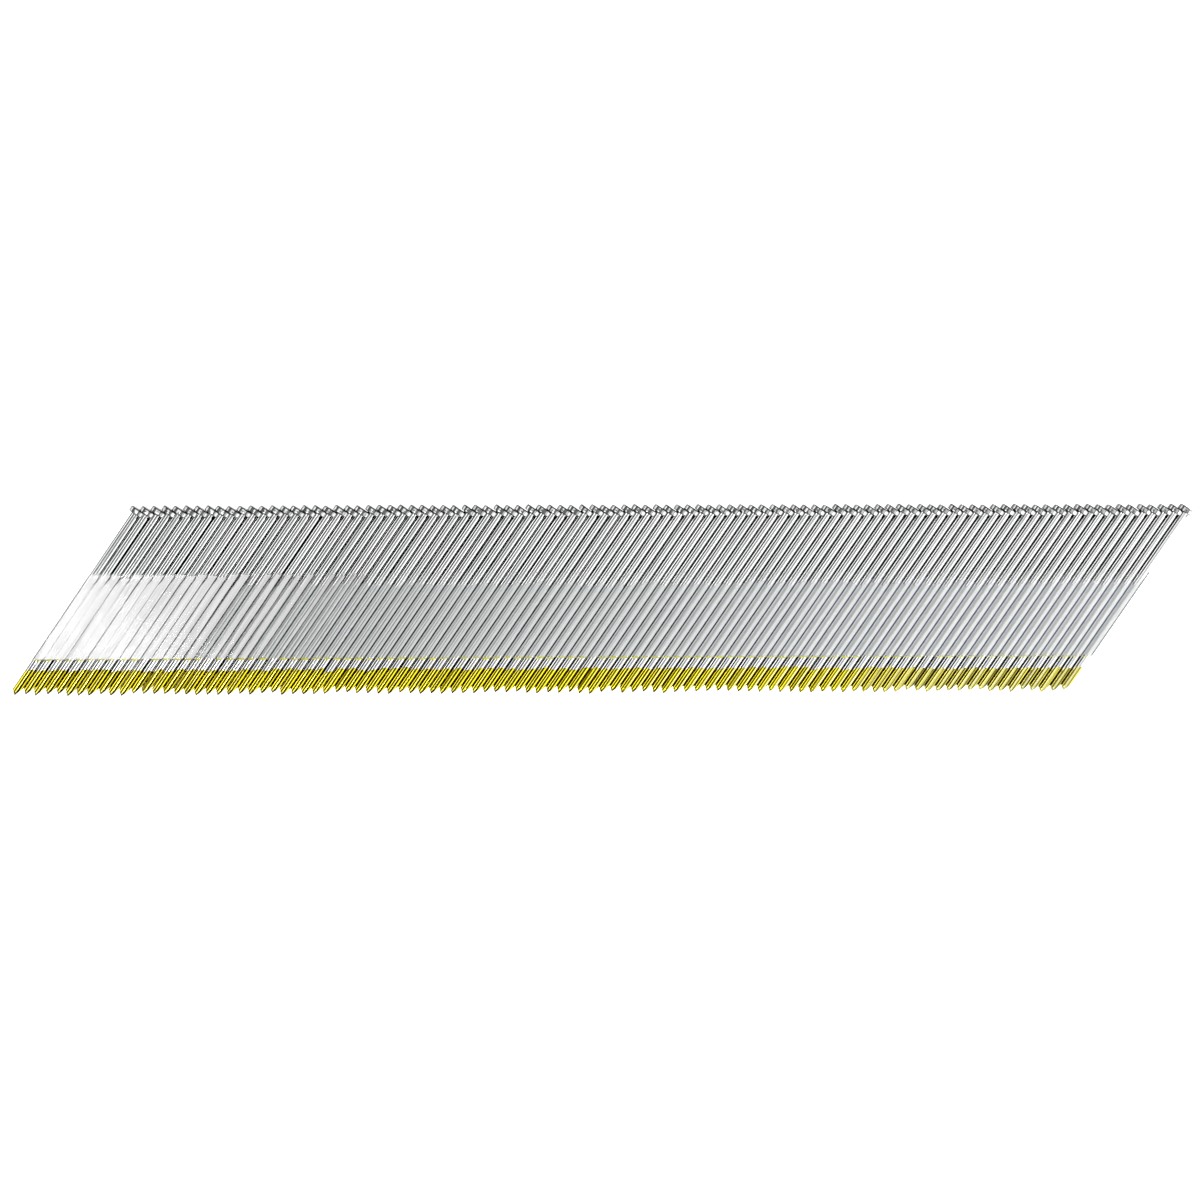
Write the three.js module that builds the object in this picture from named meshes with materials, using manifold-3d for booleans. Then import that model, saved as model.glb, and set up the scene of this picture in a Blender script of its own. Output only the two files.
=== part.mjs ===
// A stick of one hundred collated, angled finish nails (15 gauge, 34 degree class).
//
// The stick lies flat on its rear face. +X runs along the stick, +Y runs from
// the points toward the heads, +Z is the thickness. The origin is at the middle
// of the bottom of the bounding box. Units are millimetres.
//
// The pieces:
//   nail_pair_01 .. nail_pair_50   two neighbouring nails and the lacquer web
//                                  that bonds their flanks
//   front_adhesive, rear_adhesive  the lacquer that fills the grooves between
//                                  the wires on each face
//   front_film, rear_film          the clear collating films
//   front_tip_coating,             the dipped coating on the points, as one
//   rear_tip_coating               thin plain layer on each face

import * as THREE from 'three';
import { mergeVertices } from 'three/addons/utils/BufferGeometryUtils.js';
import Module from 'manifold-3d';

const wasm = await Module();
wasm.setup();

// ---------------------------------------------------------------------------
// Driving dimensions
// ---------------------------------------------------------------------------

const NAIL_COUNT = 100;
const LEAN = THREE.MathUtils.degToRad(34.2); // nail axis from the stick's height
const PITCH = 1.75; // from nail to nail, square to the nails
const PITCH_X = PITCH / Math.cos(LEAN); // the same, along the stick
const NAIL_LENGTH = 44.45; // point to head top, along the nail
const BOW = 0.1; // the stick's middle rises this much toward the heads

// Wire section: a round wire with its flanks pressed flat by its neighbours.
const WIRE_W = 1.73; // across the stick's run
const WIRE_T = 1.83; // through the stick's thickness
const FLANK_HALF = 0.38; // half height of the flat on each flank
const CREST_HALF = 0.36; // half width of the flat on the front and the rear

// Chisel point.
const POINT_P = 0.12; // the point sits this far right of the axis
const LEFT_SHOULDER = 0.9; // where the short facet meets the left flank
const RIGHT_SHOULDER = 2.4; // where the long facet meets the right flank
const BEVEL_RISE = 0.6; // front and rear bevels, along the nail
const BEVEL_HALF = 0.7; // half thickness left at the very point

// Head: an upset disc that laps over the left neighbour's head and is notched
// around the right neighbour's shank.
const HEAD_THICK = 1.05;
const HEAD_HALF_Z = 1.5;
const HEAD_HALF_P = 1.55;
const HEAD_CENTRE_P = -0.1;
const HEAD_CORNER_P = 0.95;
const HEAD_CORNER_Z = 1.05;
const NOTCH_CLEAR = 0.03;

// Lacquer web between the two nails of a pair.
const WEB_HALF_Z = 0.33;
const WEB_FROM = 9.35; // along the nail, from the point
const WEB_TO = 27.5;
const WEB_BITE = 0.05; // how far it runs into each flank

// Bands, measured square to the stick's run from the line of the points.
const FILM_FROM = 7.1;
const FILM_TO = 24.1;
const ADHESIVE_FROM = 7.2;
const ADHESIVE_TO = 22.3;
const COATING_TO = 4.85;
const COATING_JAG = 0.6; // the coating's edge climbs this much across each nail

// Layers, measured from the stick's middle plane.
const CREST_Z = WIRE_T / 2;
const LAYER_GAP = 0.02;
const ADHESIVE_Z0 = CREST_Z + LAYER_GAP;
const ADHESIVE_Z1 = ADHESIVE_Z0 + 0.04;
const GROOVE_Z = 0.45; // depth the lacquer reaches in a groove
const FILM_Z0 = ADHESIVE_Z1 + LAYER_GAP;
const FILM_Z1 = FILM_Z0 + 0.08;
const COATING_Z0 = CREST_Z + LAYER_GAP;
const COATING_Z1 = COATING_Z0 + 0.06;

// ---------------------------------------------------------------------------
// Helpers
// ---------------------------------------------------------------------------

const TAN = Math.tan(LEAN);
const COS = Math.cos(LEAN);
const SIN = Math.sin(LEAN);

function solid(geometry) {
  const g = geometry.clone();
  g.deleteAttribute('normal');
  g.deleteAttribute('uv');
  const merged = mergeVertices(g, 1e-5);
  return new wasm.Manifold(
    new wasm.Mesh({
      numProp: 3,
      vertProperties: new Float32Array(merged.attributes.position.array),
      triVerts: new Uint32Array(merged.index.array),
    })
  );
}

function geometryOf(manifold) {
  const mesh = manifold.getMesh();
  const g = new THREE.BufferGeometry();
  g.setAttribute('position', new THREE.BufferAttribute(new Float32Array(mesh.vertProperties), 3));
  g.setIndex(new THREE.BufferAttribute(new Uint32Array(mesh.triVerts), 1));
  g.computeVertexNormals();
  return g;
}

function polygon(points) {
  return new THREE.Shape(points.map(([x, y]) => new THREE.Vector2(x, y)));
}

function extrude(points, depth) {
  return new THREE.ExtrudeGeometry(polygon(points), { depth, bevelEnabled: false, steps: 1 });
}

// A section drawn in (p, z) and run along the nail from a0 to a1.
// Nail frame: x = p, y = a, z = z.
function alongNail(points, a0, a1) {
  const g = extrude(points, a1 - a0);
  g.rotateX(Math.PI / 2); // depth now runs toward -y, the section's y is z
  g.translate(0, a1, 0);
  return g;
}

// The rise of the stick at a nail whose foot is at u along the line of points.
const U_LAST = (NAIL_COUNT - 1) * PITCH_X;
function bow(u) {
  const s = (2 * u) / U_LAST - 1;
  return BOW * (1 - s * s);
}

// Stick frame from the foot position u, the height y and the bow.
function stickPoint(u, y) {
  return [u + y * TAN, y + bow(u)];
}

// The same from a nail's own p and a.
function nailPoint(u, p, a) {
  return [u + p * COS + a * SIN, a * COS - p * SIN + bow(u)];
}

// ---------------------------------------------------------------------------
// One nail, in its own frame
// ---------------------------------------------------------------------------

function wireSection(grow = 0, centre = 0) {
  const w = WIRE_W / 2 + grow;
  const t = WIRE_T / 2 + grow;
  const f = FLANK_HALF + grow * 0.4;
  const c = CREST_HALF + grow * 0.4;
  return [
    [centre + c, -t], [centre + w, -f], [centre + w, f], [centre + c, t],
    [centre - c, t], [centre - w, f], [centre - w, -f], [centre - c, -t],
  ];
}

function makeNail() {
  let nail = solid(alongNail(wireSection(), 0, NAIL_LENGTH - HEAD_THICK / 2));

  // The point's left and right facets: keep what is inside this outline.
  const far = 4;
  const facets = extrude(
    [
      [POINT_P, 0],
      [WIRE_W / 2, RIGHT_SHOULDER],
      [far, RIGHT_SHOULDER],
      [far, NAIL_LENGTH + 5],
      [-far, NAIL_LENGTH + 5],
      [-far, LEFT_SHOULDER],
      [-WIRE_W / 2, LEFT_SHOULDER],
    ],
    8
  );
  facets.translate(0, 0, -4);
  nail = nail.intersect(solid(facets));

  // The front and rear bevels, drawn in (z, a) and run across the nail.
  const bevels = extrude(
    [
      [BEVEL_HALF, -1],
      [BEVEL_HALF, 0],
      [CREST_Z, BEVEL_RISE],
      [far, BEVEL_RISE],
      [far, NAIL_LENGTH + 5],
      [-far, NAIL_LENGTH + 5],
      [-far, BEVEL_RISE],
      [-CREST_Z, BEVEL_RISE],
      [-BEVEL_HALF, 0],
      [-BEVEL_HALF, -1],
    ],
    12
  );
  bevels.rotateY(Math.PI / 2);
  bevels.translate(-6, 0, 0);
  nail = nail.intersect(solid(bevels));

  // The head.
  const c = HEAD_CENTRE_P;
  let head = solid(
    alongNail(
      [
        [c + HEAD_CORNER_P, -HEAD_HALF_Z], [c + HEAD_HALF_P, -HEAD_CORNER_Z],
        [c + HEAD_HALF_P, HEAD_CORNER_Z], [c + HEAD_CORNER_P, HEAD_HALF_Z],
        [c - HEAD_CORNER_P, HEAD_HALF_Z], [c - HEAD_HALF_P, HEAD_CORNER_Z],
        [c - HEAD_HALF_P, -HEAD_CORNER_Z], [c - HEAD_CORNER_P, -HEAD_HALF_Z],
      ],
      NAIL_LENGTH - HEAD_THICK,
      NAIL_LENGTH
    )
  );
  const notch = solid(
    alongNail(wireSection(NOTCH_CLEAR, PITCH), NAIL_LENGTH - HEAD_THICK - 1, NAIL_LENGTH + 1)
  );
  head = head.subtract(notch);
  return nail.add(head);
}

// Two nails and the web between their flanks. The second nail's foot is one
// pitch further along the line of points, so along the nail it sits higher.
function makePair() {
  const first = makeNail();
  const second = first.translate([PITCH, PITCH * TAN, 0]);
  const half = PITCH - WIRE_W;
  const web = new THREE.BoxGeometry(half + 2 * WEB_BITE, WEB_TO - WEB_FROM, 2 * WEB_HALF_Z);
  web.translate(PITCH / 2, (WEB_FROM + WEB_TO) / 2, 0);
  return first.add(second).add(solid(web));
}

// ---------------------------------------------------------------------------
// Bands across the stick
// ---------------------------------------------------------------------------

const U0 = -WIRE_W / 2 / COS;
const U1 = U_LAST + WIRE_W / 2 / COS;

function makeFilm(z0, z1) {
  const steps = 14;
  const low = [];
  const high = [];
  for (let k = 0; k <= steps; k++) {
    const u = U0 + ((U1 - U0) * k) / steps;
    low.push(stickPoint(u, FILM_FROM));
    high.push(stickPoint(u, FILM_TO));
  }
  const g = extrude([...low, ...high.reverse()], z1 - z0);
  g.translate(0, 0, z0);
  return g;
}

// The lacquer: flat outside, with a ridge in every groove between two wires.
function makeAdhesive(front) {
  const crest = (CREST_HALF + 0.015) / COS;
  const points = [];
  for (let i = 0; i < NAIL_COUNT; i++) {
    const u = i * PITCH_X;
    points.push([u - crest, ADHESIVE_Z0], [u + crest, ADHESIVE_Z0]);
    if (i < NAIL_COUNT - 1) points.push([u + PITCH_X / 2, GROOVE_Z]);
  }
  points.push([U1 - 0.3, ADHESIVE_Z1], [U0 + 0.3, ADHESIVE_Z1]);
  const section = front ? points : points.map(([x, z]) => [x, -z]).reverse();
  const g = extrude(section, ADHESIVE_TO - ADHESIVE_FROM);
  g.rotateX(Math.PI / 2);
  g.translate(0, ADHESIVE_TO, 0);
  const at = g.attributes.position;
  for (let k = 0; k < at.count; k++) {
    const [x, y] = stickPoint(at.getX(k), at.getY(k));
    at.setXYZ(k, x, y, at.getZ(k));
  }
  return g;
}

// The coating: its lower edge follows the outline of every point, and its upper
// edge climbs across each nail. low and high run side by side along the stick,
// and each step between them is one quad on the front and one on the rear.
function makeCoating(z0, z1) {
  const low = [nailPoint(0, -WIRE_W / 2, LEFT_SHOULDER)];
  const high = [stickPoint(U0, COATING_TO - COATING_JAG)];
  for (let i = 0; i < NAIL_COUNT; i++) {
    const u = i * PITCH_X;
    low.push(nailPoint(u, POINT_P, 0), nailPoint(u, WIRE_W / 2, RIGHT_SHOULDER));
    high.push(
      stickPoint(u - 0.3 * PITCH_X, COATING_TO - COATING_JAG),
      stickPoint(u + 0.3 * PITCH_X, COATING_TO)
    );
  }
  const n = low.length;
  const positions = [];
  for (const [row, z] of [[low, z0], [high, z0], [low, z1], [high, z1]]) {
    for (const [x, y] of row) positions.push(x, y, z);
  }
  const index = [];
  const quad = (a, b, c, d) => index.push(a, b, c, a, c, d);
  const L0 = 0;
  const H0 = n;
  const L1 = 2 * n;
  const H1 = 3 * n;
  for (let k = 0; k < n - 1; k++) {
    quad(L1 + k, L1 + k + 1, H1 + k + 1, H1 + k); // front
    quad(L0 + k, H0 + k, H0 + k + 1, L0 + k + 1); // rear
    quad(L0 + k, L0 + k + 1, L1 + k + 1, L1 + k); // along the points
    quad(H0 + k, H1 + k, H1 + k + 1, H0 + k + 1); // along the upper edge
  }
  quad(L0, L1, H1, H0);
  quad(L0 + n - 1, H0 + n - 1, H1 + n - 1, L1 + n - 1);
  const g = new THREE.BufferGeometry();
  g.setAttribute('position', new THREE.Float32BufferAttribute(positions, 3));
  g.setIndex(index);
  return g;
}

// ---------------------------------------------------------------------------
// Materials
// ---------------------------------------------------------------------------

const zinc = new THREE.MeshStandardMaterial({ color: 0xb9bcba, roughness: 0.32, metalness: 1.0 });
const zincTurned = new THREE.MeshStandardMaterial({ color: 0xaeb1b0, roughness: 0.36, metalness: 1.0 });
const filmMaterial = new THREE.MeshStandardMaterial({
  color: 0xf2f4f2, roughness: 0.12, metalness: 0.0, transparent: true, opacity: 0.3,
});
const lacquer = new THREE.MeshStandardMaterial({
  color: 0xdfe2dc, roughness: 0.3, metalness: 0.0, transparent: true, opacity: 0.5,
});
const yellow = new THREE.MeshStandardMaterial({ color: 0xcdb413, roughness: 0.3, metalness: 0.1 });

// ---------------------------------------------------------------------------
// The stick
// ---------------------------------------------------------------------------

const stick = new THREE.Group();

const pair = makePair();
for (let k = 0; k < NAIL_COUNT / 2; k++) {
  const mesh = new THREE.Mesh(geometryOf(pair), k % 2 ? zincTurned : zinc);
  mesh.name = `nail_pair_${String(k + 1).padStart(2, '0')}`;
  const u = 2 * k * PITCH_X;
  mesh.rotation.z = -LEAN;
  mesh.position.set(u, bow(u + PITCH_X / 2), 0);
  stick.add(mesh);
}

function band(name, geometry, material) {
  const mesh = new THREE.Mesh(geometryOf(solid(geometry)), material);
  mesh.name = name;
  stick.add(mesh);
}

band('front_adhesive', makeAdhesive(true), lacquer);
band('rear_adhesive', makeAdhesive(false), lacquer);
band('front_film', makeFilm(FILM_Z0, FILM_Z1), filmMaterial);
band('rear_film', makeFilm(-FILM_Z1, -FILM_Z0), filmMaterial);
band('front_tip_coating', makeCoating(COATING_Z0, COATING_Z1), yellow);
band('rear_tip_coating', makeCoating(-COATING_Z1, -COATING_Z0), yellow);

// Stand the stick on the middle of its bounding box's bottom.
stick.updateMatrixWorld(true);
const box = new THREE.Box3().setFromObject(stick, true);
const part = new THREE.Group();
stick.position.set(-(box.min.x + box.max.x) / 2, -(box.min.y + box.max.y) / 2, -box.min.z);
part.add(stick);

export default part;
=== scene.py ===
import math

import bpy
import numpy as np
from mathutils import Matrix, Vector


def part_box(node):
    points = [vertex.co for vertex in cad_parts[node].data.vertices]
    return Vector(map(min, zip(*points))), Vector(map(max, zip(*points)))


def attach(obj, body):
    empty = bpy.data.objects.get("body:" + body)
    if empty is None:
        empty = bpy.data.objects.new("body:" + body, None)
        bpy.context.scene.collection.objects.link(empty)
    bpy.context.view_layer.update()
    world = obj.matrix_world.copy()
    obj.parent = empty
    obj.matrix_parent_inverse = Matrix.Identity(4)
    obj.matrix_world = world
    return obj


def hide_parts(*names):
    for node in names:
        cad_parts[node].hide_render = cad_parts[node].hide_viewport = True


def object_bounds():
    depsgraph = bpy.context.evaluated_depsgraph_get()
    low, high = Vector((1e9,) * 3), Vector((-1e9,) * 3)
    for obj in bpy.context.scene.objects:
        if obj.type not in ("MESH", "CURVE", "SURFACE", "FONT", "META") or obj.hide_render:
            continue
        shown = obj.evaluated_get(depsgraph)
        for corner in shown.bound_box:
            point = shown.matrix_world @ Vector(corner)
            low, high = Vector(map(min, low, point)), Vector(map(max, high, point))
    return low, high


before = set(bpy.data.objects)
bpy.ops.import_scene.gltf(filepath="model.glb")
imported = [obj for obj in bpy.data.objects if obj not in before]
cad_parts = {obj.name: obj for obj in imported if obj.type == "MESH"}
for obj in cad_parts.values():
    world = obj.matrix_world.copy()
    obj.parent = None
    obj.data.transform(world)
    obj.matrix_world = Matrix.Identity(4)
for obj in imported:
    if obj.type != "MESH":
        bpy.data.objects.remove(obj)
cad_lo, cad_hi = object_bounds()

# A stick of one hundred collated, angled finish nails, lying flat.
# Lengths below are millimetres unless a name ends in _M.
#
# Each nail is its own piece, drawn in its own frame: x = p, across the nail
# toward the right neighbour; y = a, along the nail from the point to the head;
# z = out of the stick's front face.

MM = 0.001

# ---------------------------------------------------------------------------
# Sizes shared with the CAD
# ---------------------------------------------------------------------------

NAILS = 100
LEAN = math.radians(34.2)
PITCH = 1.75
LENGTH = 44.45
BOW = 0.1
RADIUS = 0.915
FLAT_P = 0.865
POINT_P = 0.12
LEFT_SHOULDER = 0.9
RIGHT_SHOULDER = 2.4
BEVEL_RISE = 0.6
BEVEL_HALF = 0.7
HEAD_THICK = 1.05
HEAD_P = -0.1
HEAD_HALF_P = 1.55
HEAD_HALF_Z = 1.5
FILM_FROM = 7.1
FILM_TO = 24.1
LACQUER_FROM = 7.0
LACQUER_TO = 22.3
COATING_TO = 4.85

COS, SIN, TAN = math.cos(LEAN), math.sin(LEAN), math.tan(LEAN)
PITCH_X = PITCH / COS
U_LAST = (NAILS - 1) * PITCH_X
U0 = -FLAT_P / COS
U1 = U_LAST + FLAT_P / COS


def bow(u):
    s = 2 * u / U_LAST - 1
    return BOW * (1 - s * s)


# The line of points, found from where the CAD's front film and first nails are.
film_lo, film_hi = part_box("front_film")
pair_lo, pair_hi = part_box("nail_pair_01")
OX = film_lo.x / MM - (U0 + FILM_FROM * TAN)
OY = film_lo.y / MM - (FILM_FROM + bow(U0))
OZ = (pair_lo.z + pair_hi.z) / 2 / MM

rng = np.random.default_rng(3417)


def smoothstep(x, lo, hi):
    t = np.clip((x - lo) / (hi - lo), 0, 1)
    return t * t * (3 - 2 * t)


def wander(count, step, spread, gen):
    """A smooth random run of count values: knots every step, spread as their scatter."""
    knots = gen.normal(0, spread, int(math.ceil(count / step)) + 4)
    x = np.arange(count) / step
    k = x.astype(int)
    t = x - k
    a, b, c, d = knots[k], knots[k + 1], knots[k + 2], knots[k + 3]
    return 0.5 * (
        2 * b + (c - a) * t + (2 * a - 5 * b + 4 * c - d) * t**2 + (3 * b - a - 3 * c + d) * t**3
    )


# ---------------------------------------------------------------------------
# Mesh helpers
# ---------------------------------------------------------------------------


def build(name, co_mm, faces, sharp_deg, values=None, matrix=None):
    """A mesh object from points in millimetres and lists of quads, triangles or longer faces."""
    me = bpy.data.meshes.new(name)
    groups = [np.asarray(f, np.int32) for f in faces if len(f)]
    loops = np.concatenate([g.ravel() for g in groups])
    sizes = np.concatenate([np.full(len(g), g.shape[1], np.int32) for g in groups])
    starts = np.concatenate([[0], np.cumsum(sizes)[:-1]]).astype(np.int32)
    me.vertices.add(len(co_mm))
    me.vertices.foreach_set("co", (np.asarray(co_mm) * MM).astype(np.float32).ravel())
    me.loops.add(len(loops))
    me.loops.foreach_set("vertex_index", loops)
    me.polygons.add(len(sizes))
    me.polygons.foreach_set("loop_start", starts)
    me.update(calc_edges=True)
    me.validate()
    me.polygons.foreach_set("use_smooth", np.ones(len(me.polygons), bool))
    me.set_sharp_from_angle(angle=math.radians(sharp_deg))
    for key, data in (values or {}).items():
        data = np.asarray(data, np.float32)
        if data.ndim == 2:
            me.attributes.new(key, "FLOAT_VECTOR", "POINT").data.foreach_set("vector", data.ravel())
        else:
            me.attributes.new(key, "FLOAT", "POINT").data.foreach_set("value", data)
    me.update()
    ob = bpy.data.objects.new(name, me)
    bpy.context.scene.collection.objects.link(ob)
    if matrix is not None:
        ob.matrix_world = matrix
    return ob


def piece(ob, material, slot, *nodes):
    ob.data.materials.append(material)
    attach(ob, "root")
    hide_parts(*nodes)
    return ob


def tube_faces(rows, cols, first=0):
    """Quads between rows of cols points each, outward for points that turn from +x to +z."""
    r = np.arange(rows - 1)[:, None]
    k = np.arange(cols)[None, :]
    n = (k + 1) % cols
    a = first + r * cols + k
    b = first + (r + 1) * cols + k
    c = first + (r + 1) * cols + n
    d = first + r * cols + n
    return np.stack([a, b, c, d], -1).reshape(-1, 4)


# ---------------------------------------------------------------------------
# One nail
# ---------------------------------------------------------------------------

K = 42  # points round the wire
PHI = 2 * np.pi * np.arange(K) / K


def section(radius, flat, phi=PHI):
    return np.clip(radius * np.cos(phi), -flat, flat), radius * np.sin(phi)


def cut_height(p, z, point_p, left, right, rise):
    """How far along the nail the chisel point's facets lie at (p, z)."""
    return np.maximum.reduce(
        [
            (point_p - p) / (FLAT_P + point_p) * left,
            (p - point_p) / (FLAT_P - point_p) * right,
            (np.abs(z) - BEVEL_HALF) / (RADIUS - BEVEL_HALF) * rise,
            np.zeros_like(p),
        ]
    )


# The head's outline, as a distance from its centre in each direction. Its right
# side is notched round the neighbour's shank, which leaves a lobe on each face.
HALF = [0, 9, 16, 21, 25, 28, 31, 35, 41, 49, 58, 68, 79, 91, 103, 115, 127, 139, 151, 161, 171, 180]
HEAD_PHI = np.radians(HALF + [-a for a in HALF[-2:0:-1]])
NOTCH_R = 0.925
NOTCH_AT = PITCH - HEAD_P


def head_reach(power, wide, tall):
    c, s = np.cos(HEAD_PHI), np.sin(HEAD_PHI)
    reach = (np.abs(c / wide) ** power + np.abs(s / tall) ** power) ** (-1 / power)
    under = NOTCH_R**2 - (NOTCH_AT * s) ** 2
    hits = (under > 0) & (c > 0)
    cut = NOTCH_AT * c - np.sqrt(np.where(hits, under, 0))
    return np.where(hits, np.minimum(reach, cut), reach)


SHANK_ROWS = np.concatenate(
    [[2.95, 3.8], np.arange(5.0, 34.0, 2.2), np.arange(34.6, LENGTH - HEAD_THICK - 0.36, 0.19)]
)
CAP_RINGS = np.array([0.12, 0.26, 0.42, 0.6, 0.78, 0.92, 1.0])


class Nail:
    """The random facts of one nail, shared by its wire and its coating."""

    def __init__(self, i, gen):
        self.i = i
        self.point_p = POINT_P + gen.normal(0, 0.035)
        self.left = LEFT_SHOULDER * (1 + gen.normal(0, 0.09))
        self.right = RIGHT_SHOULDER * (1 + gen.normal(0, 0.07))
        self.rise = BEVEL_RISE * (1 + gen.normal(0, 0.08))
        self.tip = float(np.clip(gen.normal(0, 0.16), -0.3, 0.34))
        self.head = float(np.clip(gen.normal(0, 0.05), -0.1, 0.1))
        self.shift_p = float(np.clip(gen.normal(0, 0.006), -0.012, 0.012))
        self.shift_z = float(np.clip(gen.normal(0, 0.018), -0.04, 0.04))
        self.lean_p = float(np.clip(gen.normal(0, 0.006), -0.012, 0.012))
        self.lean_z = float(np.clip(gen.normal(0, 0.02), -0.04, 0.04))
        self.nick = float(gen.choice([0.2, 0.5, 0.8, 1.0]))
        self.nick_phi = math.radians(66 + gen.normal(0, 5))
        self.nick_at = gen.uniform(0, 0.7)
        self.seed = gen.uniform(-40, 40, 3)
        self.dent = gen.uniform(0.04, 0.11)
        self.dent_phi = gen.uniform(42, 60)
        self.head_power = gen.uniform(2.4, 3.1)
        self.head_wide = HEAD_HALF_P * (1 + gen.normal(0, 0.012))
        self.head_tall = HEAD_HALF_Z * (1 - abs(gen.normal(0, 0.015)))
        self.head_tip = gen.normal(0, 0.035)
        self.rim = gen.normal(0, 0.012, K)
        # where the painted dark reflection lines run across the wire, and how dark the second one is
        self.reflection_line_a = -0.40 + gen.normal(0, 0.04)
        self.reflection_line_b = 0.10 + gen.normal(0, 0.045)
        self.reflection_line_depth = float(np.clip(np.interp(i, [0, 30, 60, 99], [0.75, 0.65, 0.4, 0.3]) + gen.normal(0, 0.12), 0.05, 0.9))
        # where the head's painted dark spot sits
        self.spot_p = -0.3 + gen.normal(0, 0.1)
        self.spot_a = 0.42 + gen.normal(0, 0.07)
        self.gen = gen

    def place(self, p, a, z):
        """The nail's own small lean and shift, added to points in its frame."""
        t = a / LENGTH - 0.5
        return np.stack(
            [p + self.shift_p + self.lean_p * t, a, z + self.shift_z + self.lean_z * t], -1
        )

    def cap(self, grow, flat):
        """Rings of the chisel point from its middle out to the wire's edge."""
        bp, bz = section(RADIUS + grow, flat)
        f = CAP_RINGS[:, None]
        p = self.point_p + f * (bp - self.point_p)
        z = f * bz
        a = cut_height(p, z, self.point_p, self.left, self.right, self.rise) - self.tip
        a = a + 0.03 * np.exp(-(((p - self.point_p) / 0.12) ** 2)) * (np.abs(z) < 0.5)
        return p, a - grow * 1.2, z


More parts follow.
